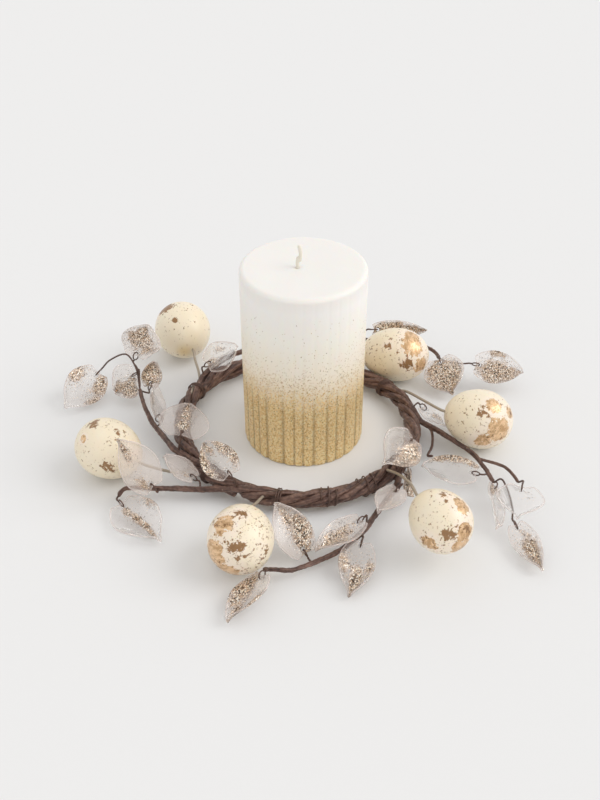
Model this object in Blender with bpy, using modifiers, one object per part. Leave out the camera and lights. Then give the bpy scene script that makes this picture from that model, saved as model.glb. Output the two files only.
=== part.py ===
"""Fluted pillar candle standing in a ring of twisted, paper-wrapped sprigs.

Five sprigs are wound round a closed hoop and branch off it. They carry six
speckled eggs on stiff stems and acrylic leaves that hang from hooks of fine wire.
"""
import math

import bmesh
import bpy
from mathutils import Matrix, Vector

MM = 0.001
GAP = 0.3 * MM

# Candle
CANDLE_RADIUS = 37.5 * MM
CANDLE_HEIGHT = 120 * MM
FLUTES = 32
FLUTE_DEPTH = 0.6 * MM
RIM_ROUND = 3 * MM
FOOT_ROUND = 1 * MM
WICK_FUNNEL = 1.5 * MM
FUNNEL_DEPTH = 1 * MM
WICK_OFFSET = -3.5 * MM
WICK_RADIUS = 1.1 * MM
WICK_TOP = 134 * MM
PLATE_RADIUS = 10 * MM
PLATE_THICKNESS = 0.6 * MM
COLLAR_RADIUS = 2.4 * MM
COLLAR_HEIGHT = 4.2 * MM

# Ring of strands
HOOP_HEIGHT = 8.2 * MM
HOOP_WIRE = 2 * MM
STRAND = 2 * MM
TWIG_END = 1.2 * MM
WIND = HOOP_WIRE + STRAND + 0.5 * MM
TURNS = 7
BINDING_WIRE = 0.4 * MM
BINDING_RADIUS = WIND + STRAND + BINDING_WIRE + 0.45 * MM
BINDING_TURNS = 2
BINDING_PITCH = 1.5 * MM

# Eggs and leaves
EGG_STEM = 0.8 * MM
EGG_SOCKET = 6 * MM
SOCKET_CLEARANCE = 0.5 * MM
SEAT_ABOVE_SOCKET_END = 1.5 * MM
MOUTH_BEFORE_EGG = 2 * MM
EGG_SWELL = 0.07
GROOVE = HOOP_WIRE + EGG_STEM + 0.6 * MM
LEAF_WIRE = 0.45 * MM
HOOK_RADIUS = 2.4 * MM
HOOK_OPEN = 35
STALK_LENGTH = 2.2 * MM
STALK_END = 0.9 * MM
LEAF_HOLE = 1.1 * MM
LEAF_THICKNESS = 1 * MM

# The hoop's outline: azimuth in degrees, radius in mm.
HOOP_OUTLINE = [(-180, 77.5), (-140, 77.5), (-100, 76), (-60, 74), (-20, 71), (15, 67),
                (45, 62), (80, 62), (115, 69), (150, 76)]

# Each sprig: where it is wound on and leaves the hoop, the phase of its winding
# (all in degrees), and the points in mm that its free end passes through.
SPRIGS = {
    "a": dict(on=-30, off=-150, phase=350, free=[
        (-80, -31, 9), (-88, -18, 9), (-96, -6, 10), (-103, 9, 13), (-107, 22, 16)]),
    "b": dict(on=15, off=-125, phase=155, free=[
        (-61, -67, 8), (-84, -66, 8), (-104, -66, 8), (-109, -71, 6)]),
    "c": dict(on=115, off=-40, phase=280, free=[
        (55, -63, 7), (48, -75, 6), (41, -87, 6), (35, -98, 6), (27, -108, 6), (16, -118, 6),
        (-4, -129, 6), (-16, -131, 8), (-22, -131, 8)]),
    "d": dict(on=147, off=5, phase=10, free=[
        (75, -4, 9), (84, -15, 11), (94, -28, 12), (103, -39, 12), (108, -49, 11), (113, -61, 8)]),
    "e": dict(on=240, off=155, phase=85, free=[
        (-66, 43, 12.5), (-55, 59, 13), (-43, 69, 13), (-20, 80, 13), (10, 85, 13), (40, 84, 13),
        (62, 82, 12), (79, 78, 13), (90, 68, 14), (93, 59, 14)]),
}

# Side twigs of a sprig, in mm, with their radius.
TWIGS = {
    "d": [dict(points=[(106, -44, 12), (115, -48, 12), (121, -52, 12), (125, -58, 11),
                       (127, -63, 10)], radius=0.9 * MM),
          dict(points=[(79, -9, 10), (81, -15, 8), (80, -25, 6), (77, -31, 4), (80, -33, 5)],
               radius=0.8 * MM)],
}

# Each egg: centre in mm, heading and pitch of its long axis away from the stem,
# diameter and length in mm, the stem's groove on the hoop and the way to the egg.
EGGS = {
    1: dict(centre=(-84, 84, 20.5), heading=113, pitch=8, width=38, length=42,
            on=163, off=151, phase=30, via=[(-71, 49, 10), (-74, 58, 14)]),
    2: dict(centre=(62, 57, 19), heading=-8, pitch=0, width=36, length=46,
            on=92, off=80, phase=194, via=[(20, 67, 12), (32, 64, 17)]),
    3: dict(centre=(109, -14, 19.5), heading=-8, pitch=-10, width=37, length=43,
            on=38, off=26, phase=188, via=[(68, 24, 12), (77, 5, 19)]),
    4: dict(centre=(-117, -43, 19), heading=155, pitch=9, width=36, length=42,
            on=-131, off=-143, phase=291, via=[(-75, -53, 9), (-86, -54, 12.5)]),
    5: dict(centre=(-34, -119, 19.5), heading=-95, pitch=8, width=36.5, length=42,
            on=-95, off=-107, phase=72, via=[(-27, -84, 13), (-31, -92, 16)]),
    6: dict(centre=(74, -114, 28), heading=-58, pitch=-6, width=33.5, length=38,
            on=-35, off=-47, phase=72, via=[(56, -64, 17), (61, -80, 24)]),
}

BINDINGS = [157, 86, 32, -137, -101, -39, -80, -62]

# Each leaf: the hook it hangs on and its tip in mm, its roll in degrees, width in
# mm, how far its sides curl up, how far its tip is twisted, and its wire's way.
LEAVES = {
    "a1": dict(hook=(-111, 31, 21), tip=(-126, 31, 6), roll=-50, width=25, via=[]),
    "a2": dict(hook=(-101, 26, 15), tip=(-99, 40, 26), roll=40, width=15, via=[]),
    "a3": dict(hook=(-111, 42, 28), tip=(-103, 58, 43), roll=-10, width=28, twist=40,
               via=[(-109, 33, 23)]),
    "a4": dict(hook=(-137, 40, 16), tip=(-156, 14, 6), roll=-35, width=27, cup=3,
               via=[(-110, 33, 24), (-117, 41, 30), (-128, 42, 25)]),
    "a5": dict(hook=(-92, -4, 12), tip=(-97, 20, 22), roll=60, width=18, via=[]),
    "a6": dict(hook=(-75, -29, 18), tip=(-71, -11, 30), roll=10, width=32, via=[]),
    "b1": dict(hook=(-106, -78, 7), tip=(-80, -106, 5), roll=10, width=28, cup=4, via=[]),
    "b2": dict(hook=(-88, -69, 12), tip=(-106, -65, 45), roll=-35, width=25, via=[]),
    "b3": dict(hook=(-65, -61, 12), tip=(-84, -49, 19), roll=-5, width=15, via=[]),
    "b4": dict(hook=(-43, -66, 19), tip=(-60, -47, 28), roll=-10, width=23, via=[]),
    "c1": dict(hook=(1, -118, 7), tip=(-16, -98, 27), roll=-15, width=22, via=[]),
    "c2": dict(hook=(-22, -139, 12), tip=(-40, -165, 5), roll=20, width=20, via=[]),
    "c3": dict(hook=(32, -100, 15), tip=(6, -121, 12), roll=-5, width=18, via=[]),
    "c4": dict(hook=(32, -113, 10), tip=(24, -147, 4), roll=-10, width=21, via=[]),
    "c5": dict(hook=(55, -73, 14), tip=(42, -91, 12), roll=0, width=18, via=[]),
    "c6": dict(hook=(61, -61, 17), tip=(63, -75, 9), roll=80, width=12, via=[]),
    "c7": dict(hook=(66, -39, 24), tip=(46, -66, 27), roll=-35, width=27, via=[]),
    "d1": dict(hook=(103, -55, 10), tip=(71, -45, 8), roll=-20, width=20, cup=3, via=[]),
    "d2": dict(hook=(112, -67, 11), tip=(110, -99, 7), roll=-45, width=14, cup=3, via=[]),
    "d3": dict(hook=(126, -76, 18), tip=(120, -98, 14), roll=0, width=28, cup=3, via=[]),
    "d4": dict(hook=(120, -98, 9), tip=(130, -129, 5), roll=20, width=16,
               via=[(117, -64, 13), (119, -79, 13), (119, -90, 12)]),
    "d5": dict(hook=(77, 6, 13), tip=(95, -8, 6), roll=5, width=14, via=[]),
    "e1": dict(hook=(92, 54, 17), tip=(99, 29, 6), roll=25, width=28, via=[]),
    "e2": dict(hook=(116, 48, 17), tip=(148, 43, 14), roll=35, width=24,
               via=[(97, 53, 16), (106, 49, 17)]),
    "e3": dict(hook=(49, 80, 24), tip=(86, 79, 24), roll=60, width=14,
               via=[(41, 83, 19)]),
    "e4": dict(hook=(-64, 44, 20), tip=(-44, 55, 28), roll=15, width=24, via=[]),
}
LEAF_CUP = 2.0
HOOK_FREE = 0.2 * MM

COLOURS = {
    "wax": (0.90, 0.86, 0.78), "wick": (0.82, 0.78, 0.68), "tin": (0.62, 0.62, 0.60),
    "bark": (0.11, 0.055, 0.035), "binding": (0.09, 0.05, 0.035), "egg": (0.85, 0.74, 0.55),
    "stem": (0.42, 0.36, 0.28), "leaf": (0.80, 0.70, 0.62),
}


def clear_scene():
    for obj in list(bpy.data.objects):
        bpy.data.objects.remove(obj, do_unlink=True)


def new_collection(name):
    collection = bpy.data.collections.new(name)
    bpy.context.scene.collection.children.link(collection)
    return collection


def material(name, colour, roughness, metallic=0.0):
    mat = bpy.data.materials.new(name)
    mat.use_nodes = True
    shader = mat.node_tree.nodes["Principled BSDF"]
    shader.inputs["Base Color"].default_value = (*colour, 1.0)
    shader.inputs["Roughness"].default_value = roughness
    shader.inputs["Metallic"].default_value = metallic
    mat.diffuse_color = (*colour, 1.0)
    return mat


def add_object(name, mesh, mat, collection):
    obj = bpy.data.objects.new(name, mesh)
    collection.objects.link(obj)
    if mat is not None:
        mesh.materials.append(mat)
    return obj


def hide_cutter(obj):
    obj.hide_render = True
    obj.display_type = "WIRE"


def boolean(obj, other, operation):
    mod = obj.modifiers.new(operation.lower(), "BOOLEAN")
    mod.operation = operation
    mod.solver = "EXACT"
    mod.object = other


def smooth_path(points, steps):
    """Points on a Catmull-Rom curve through the given ones."""
    ends = [points[0] * 2 - points[1]] + list(points) + [points[-1] * 2 - points[-2]]
    path = []
    for a, b, c, d in zip(ends, ends[1:], ends[2:], ends[3:]):
        for step in range(steps):
            t = step / steps
            path.append(0.5 * (2 * b + (c - a) * t + (2 * a - 5 * b + 4 * c - d) * t * t
                               + (3 * b - a - 3 * c + d) * t ** 3))
    path.append(points[-1])
    return path


def tube(name, points, radii, sides, mat, collection, cyclic=False):
    """A round wire along the points; its radius may change from point to point."""
    curve = bpy.data.curves.new(name, "CURVE")
    curve.dimensions = "3D"
    curve.bevel_depth = 1.0
    curve.bevel_resolution = (sides - 4) // 2
    curve.use_fill_caps = not cyclic
    spline = curve.splines.new("POLY")
    spline.points.add(len(points) - 1)
    for control, place, radius in zip(spline.points, points, radii):
        control.co = (*place, 1.0)
        control.radius = radius
    spline.use_cyclic_u = cyclic
    source = bpy.data.objects.new(name, curve)
    collection.objects.link(source)
    bpy.context.view_layer.update()
    evaluated = source.evaluated_get(bpy.context.evaluated_depsgraph_get())
    mesh = bpy.data.meshes.new_from_object(evaluated)
    bpy.data.objects.remove(source, do_unlink=True)
    bm = bmesh.new()
    bm.from_mesh(mesh)
    bmesh.ops.remove_doubles(bm, verts=bm.verts, dist=0.01 * MM)
    bmesh.ops.recalc_face_normals(bm, faces=bm.faces)
    bm.to_mesh(mesh)
    bm.free()
    mesh.materials.clear()
    mesh.shade_smooth()
    mesh.set_sharp_from_angle(angle=math.radians(50))
    return add_object(name, mesh, mat, collection)


# The hoop

def hoop_radius(azimuth):
    """The hoop's radius at an azimuth, read from a smooth closed outline."""
    outline = HOOP_OUTLINE
    count = len(outline)
    azimuth = (azimuth + 180) % 360 - 180
    index = max(i for i in range(count) if outline[i][0] <= azimuth)
    start = outline[index][0]
    end = outline[index + 1][0] if index + 1 < count else 180
    t = (azimuth - start) / (end - start)
    a, b, c, d = (outline[(index + k) % count][1] for k in (-1, 0, 1, 2))
    radius = 0.5 * (2 * b + (c - a) * t + (2 * a - 5 * b + 4 * c - d) * t * t
                    + (3 * b - a - 3 * c + d) * t ** 3)
    return radius * MM


def on_hoop(azimuth, distance=0.0, phase=0.0):
    """A point beside the hoop's centre line; phase 0 is outwards, 90 is up."""
    turn = math.radians(azimuth)
    angle = math.radians(phase)
    radius = hoop_radius(azimuth) + distance * math.cos(angle)
    return Vector((radius * math.cos(turn), radius * math.sin(turn),
                   HOOP_HEIGHT + distance * math.sin(angle)))


def winding(start, end, phase, distance, step):
    """Points of a strand wound round the hoop from one azimuth to another."""
    count = max(2, round(abs(end - start) / step))
    points = []
    for i in range(count + 1):
        azimuth = start + (end - start) * i / count
        points.append(on_hoop(azimuth, distance, TURNS * azimuth + phase))
    return points


def make_hoop(mat, collection):
    points = [on_hoop(azimuth) for azimuth in range(-180, 180, 8)]
    return tube("ring_hoop", points, [HOOP_WIRE] * len(points), 8, mat, collection, cyclic=True)


# The sprigs

def sprig_path(letter):
    """Centre line of a sprig: its winding, then its free end."""
    sprig = SPRIGS[letter]
    wound = winding(sprig["on"], sprig["off"], sprig["phase"], WIND, 5.5)
    free = [Vector(point) * MM for point in sprig["free"]]
    return wound[:-1] + smooth_path([wound[-1]] + free, 3)


def sprig_radii(letter, count):
    """Full strand on the hoop, then an even taper to the sprig's end."""
    free = 3 * len(SPRIGS[letter]["free"])
    taper = [1 - max(0, i - (count - free)) / free for i in range(count)]
    return [TWIG_END + (STRAND - TWIG_END) * t for t in taper]


def leaf_frame(leaf):
    """Matrix of a leaf: its origin on the hook, its X towards the tip."""
    hook = Vector(leaf["hook"]) * MM
    along = (Vector(leaf["tip"]) * MM - hook).normalized()
    side = Vector((0, 0, 1)).cross(along).normalized()
    turn = Matrix((along, side, along.cross(side))).transposed().to_4x4()
    return Matrix.Translation(hook) @ turn @ Matrix.Rotation(math.radians(leaf["roll"]), 4, "X")


def hook_points(leaf):
    """The open hook that a leaf hangs on, in the plane across the leaf."""
    frame = leaf_frame(leaf)
    points = [Vector((-HOOK_RADIUS - STALK_LENGTH, 0, 0)),
              Vector((-HOOK_RADIUS - STALK_END, 0, 0))]
    first, last, count = 190, 540 - HOOK_OPEN, 9
    for i in range(count + 1):
        angle = math.radians(first + (last - first) * i / count)
        points.append(Vector((HOOK_RADIUS * math.cos(angle), 0, HOOK_RADIUS * math.sin(angle))))
    return [frame @ point for point in points]


def wire_points(leaf, stem):
    """A leaf's fine wire: out of the nearest point of its sprig, to its hook."""
    hook = hook_points(leaf)
    via = [Vector(point) * MM for point in leaf["via"]]
    first = (via + hook)[0]
    root = min(stem[1:-1], key=lambda point: (point - first).length)
    way = [root] + via + hook[:1]
    if via:
        way = smooth_path(way, 2)
    return way + hook[1:]


def make_sprig(letter, mat, collection, cutters):
    path = sprig_path(letter)
    stem = tube(f"sprig_{letter}_stem", path, sprig_radii(letter, len(path)), 8, mat, collection)
    limbs = []
    for i, twig in enumerate(TWIGS.get(letter, [])):
        points = smooth_path([Vector(point) * MM for point in twig["points"]], 2)
        limbs.append(tube(f"twig_{letter}{i}", points, [twig["radius"]] * len(points), 6,
                          None, cutters))
        path = path[:-1] + points + path[-1:]
    for name, leaf in LEAVES.items():
        if name[0] == letter:
            points = wire_points(leaf, path)
            limbs.append(tube(f"wire_{name}", points, [LEAF_WIRE] * len(points), 4,
                              None, cutters))
    for limb in limbs:
        hide_cutter(limb)
        boolean(stem, limb, "UNION")
    return stem


def make_binding(index, azimuth, mat, collection):
    """Two turns of fine wire drawn round the hoop and its strands."""
    centre = on_hoop(azimuth)
    turn = math.radians(azimuth)
    outward = Vector((math.cos(turn), math.sin(turn), 0))
    along = Vector((-math.sin(turn), math.cos(turn), 0))
    per_turn, turns, pitch = 10, BINDING_TURNS, BINDING_PITCH
    points = []
    for i in range(per_turn * turns + 1):
        angle = 2 * math.pi * i / per_turn
        ahead = pitch * (i / per_turn - turns / 2)
        points.append(centre + outward * BINDING_RADIUS * math.cos(angle)
                      + Vector((0, 0, BINDING_RADIUS * math.sin(angle))) + along * ahead)
    return tube(f"binding_wire_{index}", points, [BINDING_WIRE] * len(points), 4, mat, collection)


# The eggs

def egg_matrix(egg):
    heading, pitch = math.radians(egg["heading"]), math.radians(egg["pitch"])
    return (Matrix.Translation(Vector(egg["centre"]) * MM) @ Matrix.Rotation(heading, 4, "Z")
            @ Matrix.Rotation(math.pi / 2 - pitch, 4, "Y"))


def make_egg(number, mat, collection, cutters):
    """An egg, a little narrower at the stem, with a socket for the stem."""
    egg = EGGS[number]
    half = egg["length"] / 2 * MM
    radius = egg["width"] / 2 * MM
    bm = bmesh.new()
    bmesh.ops.create_uvsphere(bm, u_segments=16, v_segments=10, radius=1.0)
    for vert in bm.verts:
        swell = 1 + EGG_SWELL * vert.co.z
        vert.co = Vector((vert.co.x * radius * swell, vert.co.y * radius * swell,
                          vert.co.z * half))
    mesh = bpy.data.meshes.new(f"egg_{number}")
    bm.to_mesh(mesh)
    bm.free()
    mesh.shade_smooth()
    obj = add_object(f"egg_{number}", mesh, mat, collection)
    obj.matrix_world = egg_matrix(egg)

    hole = EGG_STEM + SOCKET_CLEARANCE
    bm = bmesh.new()
    bmesh.ops.create_cone(bm, cap_ends=True, segments=10, radius1=hole, radius2=hole,
                          depth=2 * EGG_SOCKET)
    mesh = bpy.data.meshes.new(f"socket_{number}")
    bm.to_mesh(mesh)
    bm.free()
    socket = add_object(f"socket_{number}", mesh, None, cutters)
    socket.matrix_world = egg_matrix(egg) @ Matrix.Translation((0, 0, -half))
    hide_cutter(socket)
    boolean(obj, socket, "DIFFERENCE")
    return obj


def make_egg_stem(number, mat, collection):
    """A stiff wire from a groove between the strands into the egg's socket."""
    egg = EGGS[number]
    frame = egg_matrix(egg)
    half = egg["length"] / 2 * MM
    wound = winding(egg["on"], egg["off"], egg["phase"], GROOVE, 3)
    via = [Vector(point) * MM for point in egg["via"]]
    mouth = frame @ Vector((0, 0, -half - MOUTH_BEFORE_EGG))
    seat = frame @ Vector((0, 0, -half + EGG_SOCKET - SEAT_ABOVE_SOCKET_END))
    points = wound[:-1] + smooth_path([wound[-1]] + via + [mouth], 3) + [seat]
    return tube(f"egg_{number}_stem", points, [EGG_STEM] * len(points), 6, mat, collection)


# The leaves

def leaf_width(t):
    """Half width along a leaf as a share of the full half: blunt base, pointed tip."""
    body = math.sin(math.pi * min(1.0, t * 0.94 + 0.06) ** 0.72) ** 0.75
    return max(body, 0.05)


def make_leaf(name, mat, collection, cutters):
    leaf = LEAVES[name]
    length = (Vector(leaf["tip"]) - Vector(leaf["hook"])).length * MM
    half = leaf["width"] / 2 * MM
    cup = leaf.get("cup", LEAF_CUP) * MM
    twist = math.radians(leaf.get("twist", 0))
    bm = bmesh.new()
    bmesh.ops.create_grid(bm, x_segments=6, y_segments=4, size=0.5)
    for vert in bm.verts:
        t = vert.co.x + 0.5
        across = vert.co.y * 2
        free = min(1.0, max(0.0, (t - 0.12) / 0.5))
        free = free * free * (3 - 2 * free)
        place = Vector((0, across * half * leaf_width(t), cup * free * (across ** 2 - 0.35)))
        place.rotate(Matrix.Rotation(twist * free, 3, "X"))
        vert.co = place + Vector((HOOK_FREE + (length - HOOK_FREE) * t, 0, 0))
    mesh = bpy.data.meshes.new(f"leaf_{name}")
    bm.to_mesh(mesh)
    bm.free()
    mesh.shade_smooth()
    obj = add_object(f"leaf_{name}", mesh, mat, collection)
    obj.matrix_world = leaf_frame(leaf)
    solid = obj.modifiers.new("thickness", "SOLIDIFY")
    solid.thickness = LEAF_THICKNESS
    solid.offset = 0.0

    bm = bmesh.new()
    bmesh.ops.create_cone(bm, cap_ends=True, segments=10, radius1=LEAF_HOLE, radius2=LEAF_HOLE,
                          depth=6 * LEAF_THICKNESS)
    mesh = bpy.data.meshes.new(f"hole_{name}")
    bm.to_mesh(mesh)
    bm.free()
    hole = add_object(f"hole_{name}", mesh, None, cutters)
    hole.matrix_world = leaf_frame(leaf) @ Matrix.Translation((HOOK_RADIUS, 0, 0))
    hide_cutter(hole)
    boolean(obj, hole, "DIFFERENCE")
    return obj


# The candle

def candle_rings():
    """Rings of the wax body: centre offset, radius, height and share of the fluting.

    They run from the wick's hole over the top and down the side, under the base and
    up round the wick's tin plate, and close on the hole again."""
    top = CANDLE_HEIGHT
    hole = WICK_RADIUS + GAP
    rings = [(WICK_OFFSET, hole, top - FUNNEL_DEPTH, 0),
             (WICK_OFFSET, hole + WICK_FUNNEL, top, 0)]
    for i in range(4):
        angle = math.radians(90 - 30 * i)
        rings.append((0, CANDLE_RADIUS - RIM_ROUND * (1 - math.cos(angle)),
                      top - RIM_ROUND * (1 - math.sin(angle)), 0.3 * i / 3))
    rings += [
        (0, CANDLE_RADIUS, top * 0.6, 0.6),
        (0, CANDLE_RADIUS, FOOT_ROUND, 1.0),
        (0, CANDLE_RADIUS - FOOT_ROUND, 0, 1.0),
        (WICK_OFFSET, PLATE_RADIUS + GAP, 0, 0),
        (WICK_OFFSET, PLATE_RADIUS + GAP, PLATE_THICKNESS + GAP, 0),
        (WICK_OFFSET, COLLAR_RADIUS + GAP, PLATE_THICKNESS + GAP, 0),
        (WICK_OFFSET, COLLAR_RADIUS + GAP, COLLAR_HEIGHT + GAP, 0),
        (WICK_OFFSET, hole, COLLAR_HEIGHT + GAP, 0),
    ]
    return rings


def make_candle(mat, collection):
    """A loft of rings, because the flutes fade out between the side and the hole."""
    per_flute = 2
    count = FLUTES * per_flute
    bm = bmesh.new()
    rows = []
    for offset, radius, height, share in candle_rings():
        row = []
        for i in range(count):
            angle = 2 * math.pi * i / count
            groove = FLUTE_DEPTH * share if i % per_flute == 0 else 0.0
            r = radius - groove
            row.append(bm.verts.new((offset + r * math.cos(angle), r * math.sin(angle), height)))
        rows.append(row)
    for upper, lower in zip(rows, rows[1:] + rows[:1]):
        for i in range(count):
            j = (i + 1) % count
            bm.faces.new((upper[i], lower[i], lower[j], upper[j]))
    bmesh.ops.recalc_face_normals(bm, faces=bm.faces)
    mesh = bpy.data.meshes.new("candle_body")
    bm.to_mesh(mesh)
    bm.free()
    mesh.shade_smooth()
    mesh.set_sharp_from_angle(angle=math.radians(40))
    return add_object("candle_body", mesh, mat, collection)


def make_wick(mat, collection):
    top = CANDLE_HEIGHT
    points = [Vector((WICK_OFFSET, 0, PLATE_THICKNESS + GAP)), Vector((WICK_OFFSET, 0, top))]
    points += [Vector((WICK_OFFSET + 1.4 * MM, 0, top + 4 * MM)),
               Vector((WICK_OFFSET + 1.8 * MM, 0, top + 8 * MM)),
               Vector((WICK_OFFSET + 1.3 * MM, 0, top + 11.5 * MM)),
               Vector((WICK_OFFSET + 0.6 * MM, 0, WICK_TOP))]
    return tube("wick", points, [WICK_RADIUS] * len(points), 8, mat, collection)


def make_sustainer(mat, collection):
    """The tin plate and collar that hold the foot of the wick, as a turned profile."""
    inner = WICK_RADIUS + GAP
    profile = [(0, 0), (PLATE_RADIUS, 0), (PLATE_RADIUS, PLATE_THICKNESS),
               (COLLAR_RADIUS, PLATE_THICKNESS), (COLLAR_RADIUS, COLLAR_HEIGHT),
               (inner, COLLAR_HEIGHT), (inner, PLATE_THICKNESS), (0, PLATE_THICKNESS)]
    bm = bmesh.new()
    verts = [bm.verts.new((radius, 0, height)) for radius, height in reversed(profile)]
    for first, second in zip(verts, verts[1:]):
        bm.edges.new((first, second))
    mesh = bpy.data.meshes.new("wick_sustainer")
    bm.to_mesh(mesh)
    bm.free()
    obj = add_object("wick_sustainer", mesh, mat, collection)
    obj.location = (WICK_OFFSET, 0, 0)
    screw = obj.modifiers.new("turned", "SCREW")
    screw.steps = 24
    screw.render_steps = 24
    screw.use_merge_vertices = True
    screw.merge_threshold = 0.00001
    return obj


def main():
    clear_scene()
    parts = new_collection("unity_candle")
    cutters = new_collection("cutters")
    wax = material("wax", COLOURS["wax"], 0.5)
    bark = material("paper_wrap", COLOURS["bark"], 0.7)
    binding = material("binding_wire", COLOURS["binding"], 0.5, 0.6)
    shell = material("egg_shell", COLOURS["egg"], 0.4)
    stem = material("egg_stem", COLOURS["stem"], 0.5)
    acrylic = material("leaf_acrylic", COLOURS["leaf"], 0.15)

    make_candle(wax, parts)
    make_wick(material("wick_cotton", COLOURS["wick"], 0.9), parts)
    make_sustainer(material("tin_plate", COLOURS["tin"], 0.35, 1.0), parts)
    make_hoop(bark, parts)
    for letter in SPRIGS:
        make_sprig(letter, bark, parts, cutters)
    for index, azimuth in enumerate(BINDINGS, 1):
        make_binding(index, azimuth, binding, parts)
    for number in EGGS:
        make_egg(number, shell, parts, cutters)
        make_egg_stem(number, stem, parts)
    for name in LEAVES:
        make_leaf(name, acrylic, parts, cutters)


main()
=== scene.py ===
import math

import bpy
import numpy as np
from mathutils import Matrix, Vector


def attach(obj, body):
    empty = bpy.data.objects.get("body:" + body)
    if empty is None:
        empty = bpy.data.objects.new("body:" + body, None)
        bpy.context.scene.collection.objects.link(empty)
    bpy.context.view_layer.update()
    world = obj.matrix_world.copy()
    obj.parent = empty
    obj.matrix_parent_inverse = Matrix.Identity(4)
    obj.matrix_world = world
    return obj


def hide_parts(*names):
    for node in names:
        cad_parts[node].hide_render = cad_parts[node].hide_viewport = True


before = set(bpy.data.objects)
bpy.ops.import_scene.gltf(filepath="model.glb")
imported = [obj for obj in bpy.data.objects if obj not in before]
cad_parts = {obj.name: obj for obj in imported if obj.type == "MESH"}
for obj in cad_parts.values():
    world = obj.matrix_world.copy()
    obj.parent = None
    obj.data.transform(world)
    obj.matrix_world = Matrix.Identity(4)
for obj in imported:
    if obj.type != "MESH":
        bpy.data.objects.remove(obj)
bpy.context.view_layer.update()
print("frame loaded:", len(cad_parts), "nodes")

mm = 0.001
turn = 2 * math.pi


# curves and surfaces, as whole arrays

def unit(vectors):
    # each vector over its length
    return vectors / np.maximum(np.linalg.norm(vectors, axis=-1, keepdims=True), 1e-12)


def ease(x):
    # 3x^2 - 2x^3 between 0 and 1
    x = np.clip(x, 0, 1)
    return x * x * (3 - 2 * x)


def ripple(points, wavelength, seed):
    # smooth noise of about -1 to 1: fourteen plane waves of chance direction and phase, averaged
    chance = np.random.default_rng(seed)
    directions = unit(chance.normal(size=(14, 3))) * chance.uniform(0.7, 1.5, (14, 1))
    phases = chance.uniform(0, turn, 14)
    return np.sin(points @ directions.T * (turn / wavelength) + phases).mean(-1) * 2.6


def smoothPath(points, step):
    # Catmull-Rom curve through the points, resampled to an even step along its length
    points = np.asarray(points, float)
    ends = np.vstack([points[0] * 2 - points[1], points, points[-1] * 2 - points[-2]])
    a, b, c, d = (ends[k:len(ends) - 3 + k, None, :] for k in range(4))
    t = np.linspace(0, 1, 12, endpoint=False)[None, :, None]
    curve = 0.5 * (2 * b + (c - a) * t + (2 * a - 5 * b + 4 * c - d) * t ** 2
                   + (3 * b - a - 3 * c + d) * t ** 3)
    return evenly(np.vstack([curve.reshape(-1, 3), points[-1:]]), step)


def evenly(path, step):
    # the same line with its points at equal steps of length
    lengths = alongOf(path)
    places = np.linspace(0, lengths[-1], max(3, int(round(lengths[-1] / step)) + 1))
    return np.stack([np.interp(places, lengths, path[:, k]) for k in range(3)], 1)


def alongOf(path):
    # length run up to each point
    return np.r_[0, np.cumsum(np.linalg.norm(np.diff(path, axis=0), axis=1))]


def crossFrame(path, reference=None):
    # two directions square to the path; the reference is the way the path never points
    tangent = unit(np.gradient(path, axis=0))
    if reference is None:
        reference = np.linalg.svd(path - path.mean(0), full_matrices=False)[2][2]
    side = unit(np.cross(tangent, np.asarray(reference, float)))
    return side, np.cross(side, tangent)


def tubeRings(path, radius, sides, reference=None, relief=None):
    # path + radius * (side cos a + up sin a); the relief adds to the radius by length and angle
    side, up = crossFrame(path, reference)
    angle = np.linspace(0, turn, sides, endpoint=False)[None, :, None]
    wide = np.broadcast_to(np.asarray(radius, float).reshape(-1, 1), (len(path), sides)).copy()
    out = side[:, None] * np.cos(angle) + up[:, None] * np.sin(angle)
    if relief is not None:
        wide += relief(path[:, None] + out * wide[..., None], alongOf(path)[:, None], angle[..., 0])
    return path[:, None] + out * wide[..., None]


def shell(points, closed=False, **marks):
    # quads over rings that close on themselves; open ends are shut by a fan to a middle point
    rings, sides = points.shape[:2]
    row = np.arange(rings if closed else rings - 1)[:, None]
    column = np.arange(sides)[None, :]
    here, there = row * sides, (row + 1) % rings * sides
    quads = np.stack([here + column, here + (column + 1) % sides,
                      there + (column + 1) % sides, there + column], -1).reshape(-1, 4)
    vertices = points.reshape(-1, 3)
    marks = {name: np.broadcast_to(value, (rings, sides)).reshape(-1)
             for name, value in marks.items()}
    triangles = np.zeros((0, 3), int)
    if not closed:
        column = column[0]
        beside = (column + 1) % sides
        low, high = rings * sides, rings * sides + 1
        last = (rings - 1) * sides
        triangles = np.vstack([np.stack([np.full(sides, low), beside, column], 1),
                               np.stack([np.full(sides, high), last + column, last + beside], 1)])
        vertices = np.vstack([vertices, points[0].mean(0), points[-1].mean(0)])
        marks = {name: np.r_[value, value[:sides].mean(), value[-sides:].mean()]
                 for name, value in marks.items()}
    corners = np.vstack([triangles, quads[:, [0, 1, 2]], quads[:, [0, 2, 3]]])
    a, b, c = (vertices[corners[:, k]] for k in range(3))
    if (a * np.cross(b, c)).sum() < 0:
        quads, triangles = quads[:, ::-1], triangles[:, ::-1]
    return vertices, [quads, triangles], marks


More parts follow.
